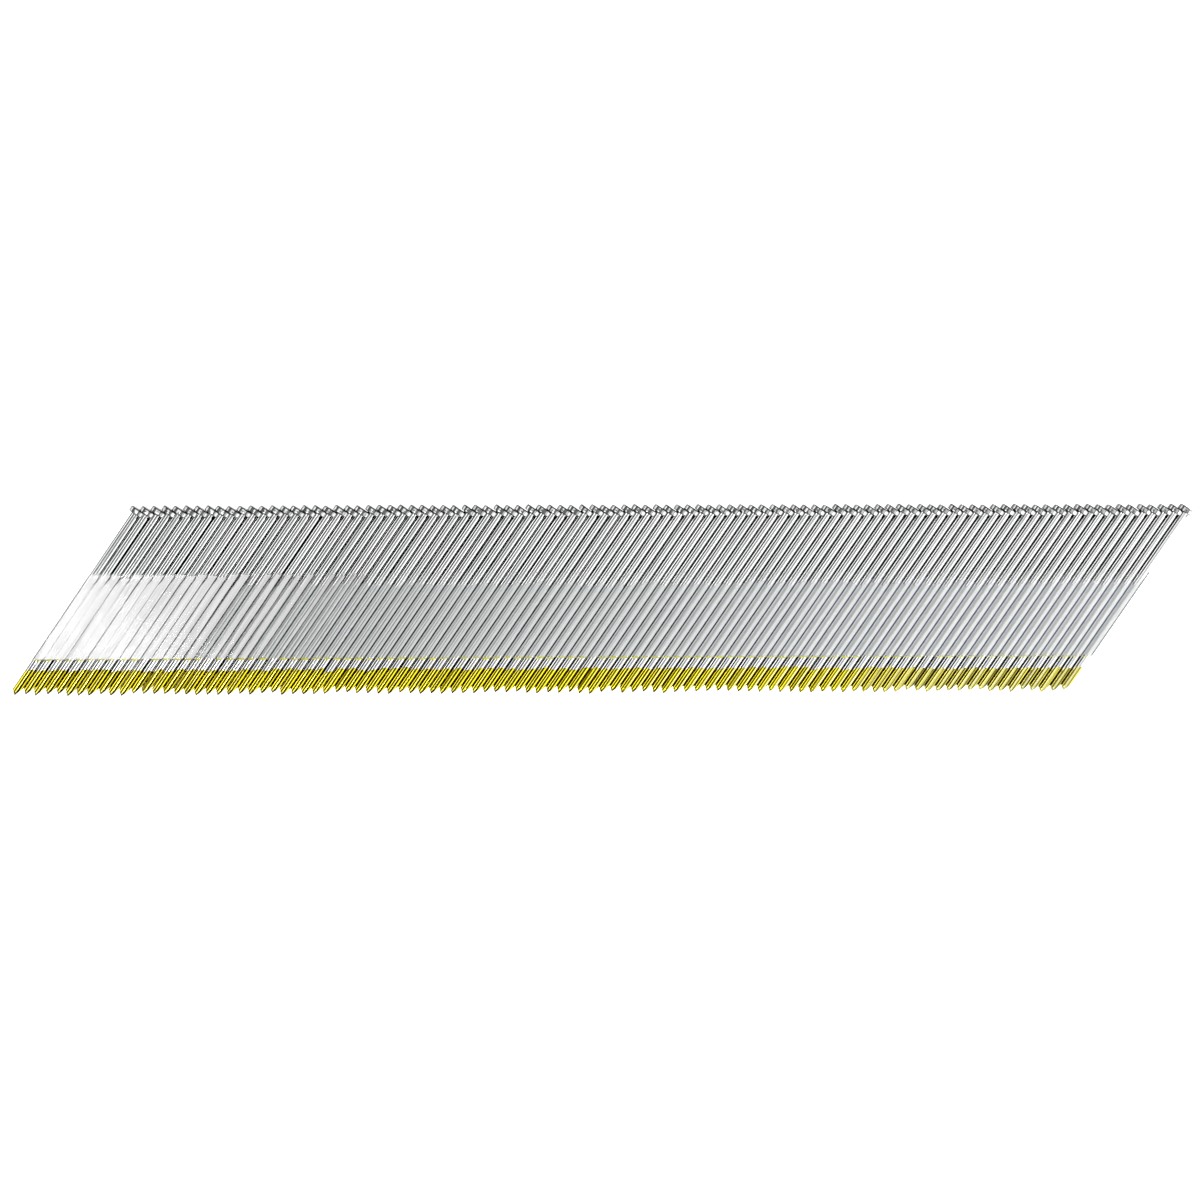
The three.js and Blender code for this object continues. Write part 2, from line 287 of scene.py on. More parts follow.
def make_nail(nail):
    p, a, z = nail.cap(0.0, FLAT_P)
    rows_p, rows_a, rows_z = [p], [a], [z]
    # shank
    sp, sz = section(RADIUS, FLAT_P)
    rows = SHANK_ROWS[:, None]
    depth = np.zeros((len(SHANK_ROWS), K))
    for j in range(11):
        at = LENGTH - HEAD_THICK - 0.75 - nail.nick_at - 0.74 * j
        along = np.exp(-(((rows - at) / 0.13) ** 2))
        for centre, share in ((nail.nick_phi, 1.0), (math.pi - nail.nick_phi, 0.45),
                              (-nail.nick_phi, 1.0), (nail.nick_phi - math.pi, 0.45)):
            off = (PHI[None, :] - centre + np.pi) % (2 * np.pi) - np.pi
            depth += share * along * np.exp(-((off / 0.2) ** 2))
    k = 1 - nail.nick * 0.028 * depth / RADIUS
    rows_p.append(sp[None, :] * k)
    rows_z.append(sz[None, :] * k)
    rows_a.append(np.repeat(rows, K, 1))
    # under the head, the head's rim and its top
    reach = head_reach(nail.head_power, nail.head_wide, nail.head_tall) + nail.rim
    c, s = np.cos(HEAD_PHI), np.sin(HEAD_PHI)
    base = LENGTH - HEAD_THICK
    deg = np.degrees(HEAD_PHI)
    shape = [
        (0.62, -0.02), (0.8, -0.02), (0.93, -0.01), (0.98, 0.06), (1.0, 0.2), (1.0, 0.38), (1.0, 0.55),
        (1.0, 0.74), (0.99, 0.88), (0.96, 1.0), (0.9, 1.08), (0.78, 1.12), (0.55, 1.13), (0.25, 1.13),
    ]
    neck_p, neck_z = section(RADIUS * 1.0, FLAT_P)
    rows_p.append(neck_p[None]); rows_z.append(neck_z[None]); rows_a.append(np.full((1, K), base - 0.34))
    neck_p, neck_z = section(RADIUS * 1.07, FLAT_P)
    rows_p.append(neck_p[None]); rows_z.append(neck_z[None]); rows_a.append(np.full((1, K), base - 0.05))
    for f, h in shape:
        r = reach * f
        dent = np.zeros(K)
        if f > 0.95:
            level = math.exp(-(((h - 0.5) / 0.2) ** 2))
            for centre, share in ((nail.dent_phi, 1.0), (-nail.dent_phi, 1.0), (132, 0.6), (-132, 0.6)):
                dent += share * level * np.exp(-(((deg - centre) / 9.0) ** 2))
        r = r - nail.dent * dent
        rows_p.append((HEAD_P + r * c)[None])
        rows_z.append((r * s)[None])
        rows_a.append((base + h + nail.head + nail.head_tip * r * c * 0.6)[None])
    P, A, Z = np.concatenate(rows_p), np.concatenate(rows_a), np.concatenate(rows_z)
    count = len(P)
    co = nail.place(P, A, Z).reshape(-1, 3)
    tip = nail.place(
        np.array([nail.point_p]), np.array([0.05 - nail.tip]), np.array([0.0])
    )
    top = nail.place(
        np.array([HEAD_P]), np.array([LENGTH + nail.head - 0.02]), np.array([0.0])
    )
    co = np.concatenate([co, tip, top])
    quads = tube_faces(count, K)
    k = np.arange(K)
    n = (k + 1) % K
    fan = np.stack([np.full(K, count * K), k, n], -1)
    last = (count - 1) * K
    lid = np.stack([last + k, np.full(K, count * K + 1), last + n], -1)
    # flank runs from the wire's middle out to its edges; the materials paint shade from it into the gaps between
    # wires, wider on the left-end nails
    flank = np.abs(co[:, 0]) / FLAT_P
    # painted shadow: under the neighbour's head the right flank lies in its shadow gap, so it is darkened more there
    near = smoothstep(co[:, 1], base - 1.3, base - 0.5) * smoothstep(co[:, 0], 0.15, 0.6)
    flank = np.maximum(flank, near * 0.95)
    flank = flank + 0.09 * float(np.interp(nail.i, [0, 34, 50], [1, 1, 0])) * (flank > 0.6)
    up = co[:, 1] - base - nail.head
    on_head = up > -0.02
    flank[on_head] = 0
    p_at = co[:, 0]
    # Painted shade and highlight on each head: a grey left end, a lighter lobe right of the middle, a dark spot, and a
    # dark top edge, underside and left tip
    shade = 0.30 + 0.22 * (1 - smoothstep(p_at, -1.0, -0.4)) - 0.3 * np.exp(-(((p_at - 0.5) / 0.3) ** 2))
    spot = np.exp(-(((p_at - nail.spot_p) / 0.17) ** 2) - ((up - nail.spot_a) / 0.2) ** 2)
    shade = np.clip(shade + 1.1 * spot, 0, 1)
    shade = np.maximum(shade, smoothstep(up, 0.80, 0.96))
    shade = np.maximum(shade, 1 - smoothstep(up, 0.02, 0.16) * 1.0)
    shade = np.maximum(shade, 0.95 * (1 - smoothstep(p_at, -1.55, -1.38)))
    shade = np.where(on_head, shade, 0)
    # Painted reflections: two dark lines down each wire, where darker parts of the studio would be mirrored; fainter
    # under the film and lacquer, and the first line fainter on the left-end nails
    level = co[:, 1] * COS - co[:, 0] * SIN
    bare = 1 - 0.7 * smoothstep(level, FILM_FROM - 0.1, FILM_FROM + 0.3) * (1 - smoothstep(level, LACQUER_TO - 0.4, FILM_TO))
    first = float(np.interp(nail.i, [0, 12, 24, 99], [0.5, 0.55, 0.9, 1.0]))
    painted_reflection_lines = first * (0.4 + 0.6 * bare) * np.exp(-(((co[:, 0] - nail.reflection_line_a) / 0.15) ** 2))
    painted_reflection_lines = painted_reflection_lines + nail.reflection_line_depth * bare * np.exp(-(((co[:, 0] - nail.reflection_line_b) / 0.10) ** 2))
    painted_reflection_lines = np.where(on_head | (co[:, 1] < 3.0), 0, painted_reflection_lines)
    u = nail.i * PITCH_X
    matrix = Matrix.Translation(Vector((OX + u, OY + bow(u), OZ)) * MM) @ Matrix.Rotation(-LEAN, 4, "Z")
    return build(
        f"nail_{nail.i + 1:03d}", co, [quads, fan, lid], 34,
        {"grain_shift": np.tile(nail.seed, (len(co), 1)), "flank": flank, "head_shade": shade, "painted_reflection_lines": painted_reflection_lines}, matrix,
    )


# ---------------------------------------------------------------------------
# The dipped coating: one thin shell on every point
# ---------------------------------------------------------------------------

COAT = 0.03


def make_coating(nails, gen):
    points, quads, tris, seeds, flanks, painted_dark_lines, sides, painted_highlights = [], [], [], [], [], [], [], []
    start = 0
    wave = wander(NAILS, 7, 0.1, gen)
    for nail in nails:
        p, a, z = nail.cap(COAT, 0.872)
        sp, sz = section(RADIUS + COAT, 0.872)
        level = COATING_TO + wave[nail.i] + gen.normal(0, 0.1)
        if gen.random() < 0.07:
            level += gen.uniform(-0.7, 0.6)
        deg = np.degrees(PHI)
        y = level + 0.12 * np.cos(PHI * 2 + gen.uniform(0, 6)) + wander(K, 5, 0.05, gen)
        for centre in (152, 208):
            y = y - gen.uniform(0.9, 1.7) * np.exp(-(((deg - centre) / 15) ** 2))
        for centre in (28, 332):
            off = (deg - centre + 180) % 360 - 180
            y = y - gen.uniform(0.0, 0.5) * np.exp(-((off / 12) ** 2))
        edge = (y + sp * SIN) / COS
        low = a[-1]
        edge = np.maximum(edge, low + 0.3)
        P, A, Z = [p], [a], [z]
        for f in (0.12, 0.3, 0.5, 0.7, 0.88, 0.97):
            P.append(sp[None]); Z.append(sz[None]); A.append((low + f * (edge - 0.06 - low))[None])
        for radius, flat, up in ((RADIUS + COAT * 0.55, 0.870, 0.0), (RADIUS + 0.002, 0.866, 0.035), (RADIUS - 0.06, 0.80, 0.04)):
            cp, cz = section(radius, flat)
            P.append(cp[None]); Z.append(cz[None]); A.append((edge + up)[None])
        P, A, Z = np.concatenate(P), np.concatenate(A), np.concatenate(Z)
        rows = len(P)
        local = nail.place(P, A, Z).reshape(-1, 3)
        ends = np.concatenate(
            [
                nail.place(np.array([nail.point_p]), np.array([0.05 - nail.tip - COAT * 1.2]), np.array([0.0])),
                nail.place(np.array([0.0]), np.array([float(A[-1].mean())]), np.array([0.0])),
            ]
        )
        local = np.concatenate([local, ends])
        # flank runs from the point's middle out to its edges; the coating's material paints shade from it into the
        # gaps
        flanks.append(np.abs(local[:, 0]) / 0.872)
        # Painted reflections on each coated point: a near-black line down it, and a whitish highlight along it,
        # strongest on the right-hand nails, with more near both sides on the last nails
        at = np.interp(nail.i, [0, 8, 45, 76, 82, 99], [0.29, 0.26, 0.13, 0.09, 0.34, 0.34]) + gen.normal(0, 0.04)
        depth = np.clip(np.interp(nail.i, [0, 55, 75, 88, 99], [1, 0.9, 0.5, 0.8, 0.8]) + gen.normal(0, 0.1), 0, 1)
        sides.append(local[:, 0] / 0.872 + gen.normal(0, 0.06))
        thin = float(np.interp(nail.i, [0, 12, 45, 76, 82, 99], [0.23, 0.22, 0.19, 0.19, 0.17, 0.17]))
        painted_dark_lines.append(depth * np.exp(-(((local[:, 0] - at) / thin) ** 2)))
        crest = np.interp(nail.i, [0, 45, 58, 77, 80, 84, 99], [-0.1, -0.1, 0.47, 0.47, 0.2, 0.03, 0.0])
        painted_highlight = np.interp(nail.i, [0, 12, 40, 50, 60, 66, 76, 99], [0.22, 0.18, 0.08, 0.06, 0.3, 0.42, 0.58, 0.78]) * (1 + gen.normal(0, 0.12))
        painted_highlight = np.clip(painted_highlight, 0, 1) * np.exp(-(((local[:, 0] - crest) / 0.22) ** 2))
        side_highlight = np.interp(nail.i, [76, 84, 99], [0, 0.22, 0.26])
        painted_highlight = painted_highlight + side_highlight * np.exp(-(((np.abs(local[:, 0]) - 0.62) / 0.15) ** 2))
        painted_highlights.append(np.clip(painted_highlight, 0, 1))
        u = nail.i * PITCH_X
        world = np.stack(
            [
                OX + u + local[:, 0] * COS + local[:, 1] * SIN,
                OY + bow(u) + local[:, 1] * COS - local[:, 0] * SIN,
                OZ + local[:, 2],
            ],
            -1,
        )
        points.append(world)
        seeds.append(np.tile(nail.seed, (len(world), 1)) + np.stack([local[:, 0], local[:, 1], local[:, 2]], -1))
        quads.append(tube_faces(rows, K, start))
        k = np.arange(K)
        n = (k + 1) % K
        tris.append(np.stack([np.full(K, start + rows * K), start + k, start + n], -1))
        last = start + (rows - 1) * K
        tris.append(np.stack([last + k, np.full(K, start + rows * K + 1), last + n], -1))
        start += len(world)
    return build(
        "tip_coating", np.concatenate(points), [np.concatenate(quads), np.concatenate(tris)], 34,
        {
            "own_place": np.concatenate(seeds), "flank": np.concatenate(flanks), "line": np.concatenate(painted_dark_lines),
            "across": np.concatenate(sides), "painted_highlight": np.concatenate(painted_highlights),
        },
    )


# ---------------------------------------------------------------------------
# Lacquer and film: sheets with a fine outer face, closed by a plain inner face
# ---------------------------------------------------------------------------


def sheet(name, X, Y, Z, inner_z, front, sharp_deg, values):
    """A closed sheet. X, Y, Z are (rows, cols) points of its outer face, rows from low to high,
    in the stick's frame with z from the middle plane; inner_z is the inner face's z at each column."""
    rows, cols = X.shape
    outer = np.stack([X, Y, Z], -1).reshape(-1, 3)
    low = np.stack([X[0], Y[0], inner_z], -1)
    high = np.stack([X[-1], Y[-1], inner_z], -1)
    co = np.concatenate([outer, low, high])
    co = co + np.array([OX, OY, 0.0])
    co[:, 2] = OZ + co[:, 2] * (1 if front else -1)
    r = np.arange(rows - 1)[:, None]
    k = np.arange(cols - 1)[None, :]
    a = r * cols + k
    grid = np.stack([a, a + 1, a + cols + 1, a + cols], -1).reshape(-1, 4)
    L, H = rows * cols, rows * cols + cols
    c = np.arange(cols - 1)
    bottom = np.stack([L + c, L + c + 1, c + 1, c], -1)
    top0 = (rows - 1) * cols
    top = np.stack([top0 + c, top0 + c + 1, H + c + 1, H + c], -1)
    back = np.stack([H + c, H + c + 1, L + c + 1, L + c], -1)
    left = np.concatenate([[L], np.arange(rows) * cols, [H]])[None, :]
    right = np.concatenate([[H + cols - 1], (np.arange(rows) * cols + cols - 1)[::-1], [L + cols - 1]])[None, :]
    faces = [np.concatenate([grid, bottom, top, back]), left, right]
    if not front:
        faces = [f[:, ::-1] for f in faces]
    full = {
        key: np.concatenate([v.reshape(-1), v[0], v[-1]]) for key, v in values.items()
    }
    return build(name, co, faces, sharp_deg, full)


def make_lacquer(name, front, nails, gen):
    per = 14
    cols = NAILS * per + 1
    rows = 30
    u = (np.arange(cols) / per - 0.5) * PITCH_X
    u = np.clip(u, U0 + 0.05, U1 - 0.05)
    nearest = np.clip(np.round(u / PITCH_X), 0, NAILS - 1)
    p = (u - nearest * PITCH_X) * COS
    groove = np.clip(np.abs(p) / (PITCH / 2), 0, 1)
    gap = np.clip(np.floor(u / PITCH_X) + 1, 0, NAILS).astype(int)  # which groove
    fill = np.clip(0.58 + wander(NAILS + 1, 4, 0.05, gen) + gen.normal(0, 0.05, NAILS + 1), 0.42, 0.74)
    ragged = gen.normal(0, 0.32, NAILS + 1)
    ragged[gen.random(NAILS + 1) < 0.12] += 0.9
    crest_lift = gen.normal(0, 0.25, NAILS)
    top = LACQUER_TO + ragged[gap] * smoothstep(groove, 0.35, 0.8)
    top = top + crest_lift[nearest.astype(int)] * (1 - smoothstep(groove, 0.35, 0.8)) + wander(cols, 5, 0.1, gen)
    low = LACQUER_FROM + wander(cols, 9, 0.05, gen) + gen.normal(0, 0.02, cols)
    t = np.linspace(0, 1, rows)[:, None]
    t = t + 0.0 * u[None, :]
    Y0 = low[None, :] + t * (top - low)[None, :]
    side = 1 if front else -1
    index = nearest.astype(int)
    sit = side * (np.array([n.shift_z for n in nails])[index][None, :]
                  + np.array([n.lean_z for n in nails])[index][None, :] * (Y0 / COS / LENGTH - 0.5))
    wire = np.sqrt(RADIUS**2 - np.minimum(np.abs(p), 0.87) ** 2)[None, :] + sit
    level = np.stack([fill[gap] + 0.05 * wander(rows, 6, 1.0, gen)[r] for r in range(rows)])
    level = level + 0.035 * np.stack([wander(cols, 14, 1.0, gen) for _ in range(rows)])
    g = smoothstep(groove, 0.3, 1.0)[None, :]
    meniscus = (0.86 - (0.86 - level) * g**0.8)
    z = np.maximum(wire + 0.012, meniscus)
    # it thins out to nothing at its upper and lower edges
    fade = smoothstep(t, 0, 0.012) * (1 - smoothstep(t, 0.93, 1.0))
    z = wire - 0.02 + (z - wire + 0.02) * (0.25 + 0.75 * fade)
    X = u[None, :] + Y0 * TAN
    Y = Y0 + bow(u)[None, :]
    edge = 1 - smoothstep(Y0, LACQUER_FROM + 0.12, LACQUER_FROM + 0.5)
    return sheet(
        name, X, Y, z, np.full(cols, 0.16), front, 60,
        {"groove": np.repeat(groove[None, :], rows, 0), "low_edge": edge, "along": Y0, "side": np.repeat((p / 0.875)[None, :], rows, 0)},
    )


def make_film(name, front, gen):
    per = 12
    cols = NAILS * per + 1
    rows = 70
    u = U0 + (U1 - U0) * np.arange(cols) / (cols - 1)
    phase = u / PITCH_X
    gap = np.clip(np.floor(phase) + 1, 0, NAILS).astype(int)
    sag = np.abs(gen.normal(0.008, 0.003, NAILS + 1))
    deep = gen.random(NAILS + 1) < 0.07
    sag[deep] += 0.03
    dip = (0.5 - 0.5 * np.cos(2 * np.pi * phase)) ** 1.6
    t = np.linspace(0, 1, rows)[:, None]
    low = FILM_FROM + wander(cols, 16, 0.035, gen)
    high = FILM_TO + wander(cols, 30, 0.07, gen) + wander(cols, 6, 0.02, gen)
    Y0 = low[None, :] + t * (high - low)[None, :]
    slow = np.stack([wander(cols, 60, 1.0, gen) for _ in range(6)])
    ty = np.linspace(0, 5, rows)
    k = np.minimum(ty.astype(int), 4)
    w = (ty - k)[:, None]
    w = w * w * (3 - 2 * w)
    slow = slow[k] * (1 - w) + slow[k + 1] * w
    along = np.stack([wander(rows, 9, 1.0, gen) for _ in range(NAILS + 1)], 1)
    depth = sag[gap][None, :] * (1 + 0.2 * along[:, gap])
    dry = smoothstep(Y0, LACQUER_TO - 0.3, FILM_TO)
    z = 0.985 - depth * dip[None, :] * (1 - 0.6 * dry) + 0.003 * slow
    z = z + 0.03 * dry**2 * (0.6 + 0.4 * slow)
    # small blisters
    X = u[None, :] + Y0 * TAN
    Y = Y0 + bow(u)[None, :]
    for _ in range(150):
        cu, cy = gen.uniform(U0 + 1, U1 - 1), gen.uniform(FILM_FROM + 0.6, FILM_TO - 0.4)
        ru, ry, h = gen.uniform(0.16, 0.42), gen.uniform(0.2, 0.9), gen.uniform(0.012, 0.04)
        near = np.abs(u - cu) < ru * 3
        d = ((u[near][None, :] - cu) / ru) ** 2 + ((Y0[:, near] - cy) / ry) ** 2
        z[:, near] += h * np.exp(-d)
    z = np.minimum(z, 1.07)
    return sheet(
        name, X, Y, z, np.full(cols, 0.925), front, 40,
        {"along": Y0, "dry": dry, "phase": np.repeat(dip[None, :], rows, 0)},
    )


def tube_run(stations, ring):
    """Closed tubes: stations is (rows, cols, 3) points; returns points, quads and end fans."""
    rows, cols = stations.shape[:2]
    pts = np.concatenate([stations.reshape(-1, 3), stations[0].mean(0)[None], stations[-1].mean(0)[None]])
    quads = tube_faces(rows, cols)
    k = np.arange(cols)
    n = (k + 1) % cols
    first = np.stack([np.full(cols, rows * cols), k, n], -1)
    last = (rows - 1) * cols
    end = np.stack([last + k, np.full(cols, rows * cols + 1), last + n], -1)
    if ring:
        return pts, quads[:, ::-1], np.concatenate([first, end])[:, ::-1]
    return pts, quads, np.concatenate([first, end])


def join(name, runs, sharp_deg, front, values=None):
    points, quads, tris, start = [], [], [], 0
    for pts, q, f in runs:
        points.append(pts); quads.append(q + start); tris.append(f + start)
        start += len(pts)
    co = np.concatenate(points) + np.array([OX, OY, 0.0])
    co[:, 2] = OZ + co[:, 2] * (1 if front else -1)
    quads, tris = np.concatenate(quads), np.concatenate(tris)
    if not front:
        quads, tris = quads[:, ::-1], tris[:, ::-1]
    return build(name, co, [quads, tris], sharp_deg, values)


def make_beads(name, front, level, chance, half_tall, nails, gen):
    """Short runs of glue squeezed out along an edge of the film, one on each nail's crest."""
    runs = []
    side = 1 if front else -1
    psi = 2 * np.pi * np.arange(8) / 8
    for nail in nails:
        if gen.random() > chance:
            continue
        p0 = -0.70 + abs(gen.normal(0, 0.10))
        p1 = 0.72 - abs(gen.normal(0, 0.12))
        p = np.linspace(p0, p1, 13)
        y = level + gen.normal(0, 0.035) + wander(13, 4, 0.025, gen)
        tall = half_tall * np.interp(nail.i, [0, 40, 75, 99], [1, 1, 0.65, 0.45]) * (1 + gen.normal(0, 0.18)) * np.sqrt(np.clip(1 - np.linspace(-1, 1, 13) ** 4, 0.02, 1))
        sit = side * (nail.shift_z + nail.lean_z * (y / COS / LENGTH - 0.5))
        z = np.sqrt(RADIUS**2 - p**2) + 0.012 + sit
        u = nail.i * PITCH_X + p / COS
        Y = y[:, None] + tall[:, None] * np.cos(psi)[None, :]
        Z = z[:, None] + 0.045 * np.sin(psi)[None, :] * np.ones((13, 1))
        X = u[:, None] + Y * TAN
        runs.append(tube_run(np.stack([X, Y + bow(u)[:, None], Z], -1), True))
    return join(name, runs, 60, front)


def make_cut_ends(name):
    """The cut edges of the front film along the first and last nails."""
    runs = []
    psi = 2 * np.pi * np.arange(6) / 6
    for u in (U0 + 0.07, U1 - 0.05):
        y = np.linspace(FILM_FROM + 0.03, FILM_TO - 0.03, 24)
        Y = y[:, None] + np.zeros((1, 6))
        X = u + 0.13 * np.cos(psi)[None, :] + Y * TAN
        Z = 0.955 + 0.035 * np.sin(psi)[None, :] + 0 * Y
        runs.append(tube_run(np.stack([X, Y + bow(u), Z], -1), False))
    return join(name, runs, 60, True)


def make_film_glare(name, gen):
    """Near-white strips over the front film at the left end: painted glare, made brighter still by the key lamp's
    reflection in them.
    """
    runs, shade = [], []
    rows = 26
    t = np.linspace(0, 1, rows)
    for i in range(27):
        share = float(np.interp(i, [0, 8, 14, 20, 26], [1.0, 0.97, 0.72, 0.5, 0.14]) * (1 + gen.normal(0, 0.1)))
        share = min(max(share, 0.08), 0.985)
        if i in (5, 9):
            share = 0.86
        if i > 14 and gen.random() < 0.15:
            continue
        hi = 0.865 - (0.0 if i < 12 else abs(gen.normal(0, 0.1)))
        lo = hi - 1.73 * share
        if i == 0:
            lo = -0.5
        free = smoothstep(i, 7.0, 16.0)
        a = lo + wander(rows, 8, 0.05, gen) * free
        b = hi + wander(rows, 8, 0.03, gen) * free
        taper = gen.uniform(0.0, 0.6) * float(smoothstep(i, 9.0, 22.0))
        narrow = 1 - taper * smoothstep(t, gen.uniform(0.0, 0.5), 1.0) if gen.random() < 0.5 else 1 - taper * (1 - smoothstep(t, 0.0, gen.uniform(0.4, 0.9)))
        m = (a + b) / 2 + 0.15 * (b - a)
        a, b = m + (a - m) * narrow, m + (b - m) * narrow
        a = np.maximum(a, -0.5 * smoothstep(t, 0.86, 0.95) - 0.875 * (1 - smoothstep(t, 0.86, 0.95)))
        y = FILM_FROM + 0.12 + t * (FILM_TO - FILM_FROM - 0.3 - abs(gen.normal(0, 0.3)))
        z = 0.972 + gen.normal(0, 0.002)
        p = np.stack([a, b, b, a], -1)
        Z = np.stack([z + 0 * a, z + 0 * a, z - 0.02 + 0 * a, z - 0.02 + 0 * a], -1)
        u = i * PITCH_X + p / COS
        Y = np.repeat(y[:, None], 4, 1)
        pts, q, f = tube_run(np.stack([u + Y * TAN, Y + bow(u), Z], -1), False)
        runs.append((pts, q, f))
        shade.append(np.full(len(pts), gen.uniform(0, 1)))
    return join(name, runs, 30, True, {"own_shade": np.concatenate(shade)})


# ---------------------------------------------------------------------------
# Materials
# ---------------------------------------------------------------------------


class Tree:
    """Short helpers to lay out a material's nodes."""

    def __init__(self, name):
        self.mat = bpy.data.materials.new(name)
        self.mat.use_nodes = True
        self.nt = self.mat.node_tree
        self.nt.nodes.clear()
        self.out = self.nt.nodes.new("ShaderNodeOutputMaterial")
        self.bsdf = self.nt.nodes.new("ShaderNodeBsdfPrincipled")
        self.nt.links.new(self.bsdf.outputs[0], self.out.inputs[0])

    def node(self, kind, **settings):
        n = self.nt.nodes.new(kind)
        for key, value in settings.items():
            setattr(n, key, value)
        return n

    def link(self, a, b):
        self.nt.links.new(a, b)
        return b

    def attribute(self, name, vector=False):
        n = self.node("ShaderNodeAttribute", attribute_name=name)
        return n.outputs["Vector" if vector else "Fac"]

    def object_mm(self):
        c = self.node("ShaderNodeTexCoord").outputs["Object"]
        return self.vmath("MULTIPLY", c, (1000, 1000, 1000))

    def vmath(self, op, a, b):
        n = self.node("ShaderNodeVectorMath", operation=op)
        for socket, value in zip(n.inputs, (a, b)):
            if isinstance(value, bpy.types.NodeSocket):
                self.link(value, socket)
            else:
                socket.default_value = value
        return n.outputs[0]

    def math(self, op, a, b=None, clamp=False):
        n = self.node("ShaderNodeMath", operation=op, use_clamp=clamp)
        for socket, value in zip(n.inputs, (a, b)):
            if isinstance(value, bpy.types.NodeSocket):
                self.link(value, socket)
            elif value is not None:
                socket.default_value = value
        return n.outputs[0]

    def noise(self, vector, scale=1.0, detail=2.0, rough=0.5):
        n = self.node("ShaderNodeTexNoise")
        self.link(vector, n.inputs["Vector"])
        n.inputs["Scale"].default_value = scale
        n.inputs["Detail"].default_value = detail
        n.inputs["Roughness"].default_value = rough
        return n.outputs[0]

    def ramp(self, fac, stops, ease="LINEAR"):
        n = self.node("ShaderNodeValToRGB")
        n.color_ramp.interpolation = ease
        while len(n.color_ramp.elements) < len(stops):
            n.color_ramp.elements.new(0.5)
        for element, (at, colour) in zip(n.color_ramp.elements, stops):
            element.position = at
            element.color = (*colour, 1) if len(colour) == 3 else colour
        self.link(fac, n.inputs[0])
        return n.outputs[0]

    def range(self, value, a, b, c, d):
        n = self.node("ShaderNodeMapRange")
        self.link(value, n.inputs[0])
        for k, v in zip(range(1, 5), (a, b, c, d)):
            n.inputs[k].default_value = v
        return n.outputs[0]

    def mix(self, fac, a, b, blend="MIX"):
        n = self.node("ShaderNodeMix", data_type="RGBA", blend_type=blend)
        for socket, value in ((n.inputs[0], fac), (n.inputs[6], a), (n.inputs[7], b)):
            if isinstance(value, bpy.types.NodeSocket):
                self.link(value, socket)
            elif isinstance(value, (int, float)):
                socket.default_value = value
            else:
                socket.default_value = (*value, 1)
        return n.outputs[2]

    def bump(self, height, distance_mm, strength=1.0):
        n = self.node("ShaderNodeBump")
        n.inputs["Strength"].default_value = strength
        n.inputs["Distance"].default_value = distance_mm * MM
        self.link(height, n.inputs["Height"])
        self.link(n.outputs[0], self.bsdf.inputs["Normal"])


def zinc_material():
    t = Tree("bright_zinc_wire")
    at = t.vmath("ADD", t.object_mm(), t.attribute("grain_shift", True))
    drawn = t.noise(t.vmath("MULTIPLY", at, (3.2, 0.03, 3.2)), 1, 3, 0.55)
    fine = t.noise(t.vmath("MULTIPLY", at, (6.0, 0.05, 6.0)), 1, 2, 0.6)
    cloud = t.noise(t.vmath("MULTIPLY", at, (0.9, 0.16, 0.9)), 1, 3, 0.6)
    speck = t.noise(t.vmath("MULTIPLY", at, (4.5, 1.6, 4.5)), 1, 3, 0.6)
    base = t.mix(t.range(drawn, 0.35, 0.68, 0, 1), (0.90, 0.905, 0.90), (0.60, 0.615, 0.62))
    base = t.mix(t.range(cloud, 0.42, 0.75, 0, 0.35), base, (0.66, 0.655, 0.60))
    base = t.mix(t.range(speck, 0.70, 0.78, 0, 0.5), base, (0.20, 0.20, 0.20))
    # painted shade: near-black in the gaps between wires, read from the flank attribute
    wire_gap_shade = t.range(t.attribute("flank"), 0.79, 0.91, 0, 1)
    # painted reflection: the dark lines down each wire
    base = t.mix(t.attribute("painted_reflection_lines"), base, (0.13, 0.133, 0.122))
    base = t.mix(wire_gap_shade, base, (0.006, 0.006, 0.009))
    base = t.mix(t.attribute("head_shade"), base, (0.02, 0.021, 0.019))
    t.link(base, t.bsdf.inputs["Base Color"])
    t.bsdf.inputs["Metallic"].default_value = 1.0
    rough = t.math("ADD", t.range(fine, 0.3, 0.7, 0.055, 0.11), t.range(speck, 0.64, 0.76, 0, 0.22))
    rough = t.math("ADD", rough, t.range(t.attribute("head_shade"), 0.0, 1.0, 0, 0.14))
    t.link(rough, t.bsdf.inputs["Roughness"])
    height = t.math("ADD", fine, t.math("MULTIPLY", drawn, 2.0))
    t.bump(height, 0.0011)
    return t.mat


def film_material():
    t = Tree("clear_collating_film")
    at = t.object_mm()
    haze = t.noise(t.vmath("MULTIPLY", at, (0.4, 0.4, 0.4)), 1, 3, 0.55)
    grain = t.noise(t.vmath("MULTIPLY", at, (6.0, 6.0, 6.0)), 1, 2, 0.5)
    base = t.mix(t.range(haze, 0.3, 0.7, 0, 1), (0.88, 0.89, 0.88), (0.97, 0.97, 0.95))
    edge = t.range(t.attribute("along"), FILM_FROM + 0.25, FILM_FROM + 0.1, 0, 0.9)
    base = t.mix(edge, base, (0.86, 0.80, 0.28))
    # painted shade: the film is darkened over the grooves between wires
    base = t.mix(t.range(t.attribute("phase"), 0.72, 0.97, 0, 1), base, (0.08, 0.09, 0.12))
    t.link(base, t.bsdf.inputs["Base Color"])
    t.bsdf.inputs["IOR"].default_value = 1.9
    t.bsdf.inputs["Specular IOR Level"].default_value = 1.0
    t.bsdf.inputs["Alpha"].default_value = 0.06
    t.link(t.range(haze, 0.3, 0.7, 0.05, 0.14), t.bsdf.inputs["Roughness"])
    t.bump(grain, 0.0006)
    return t.mat


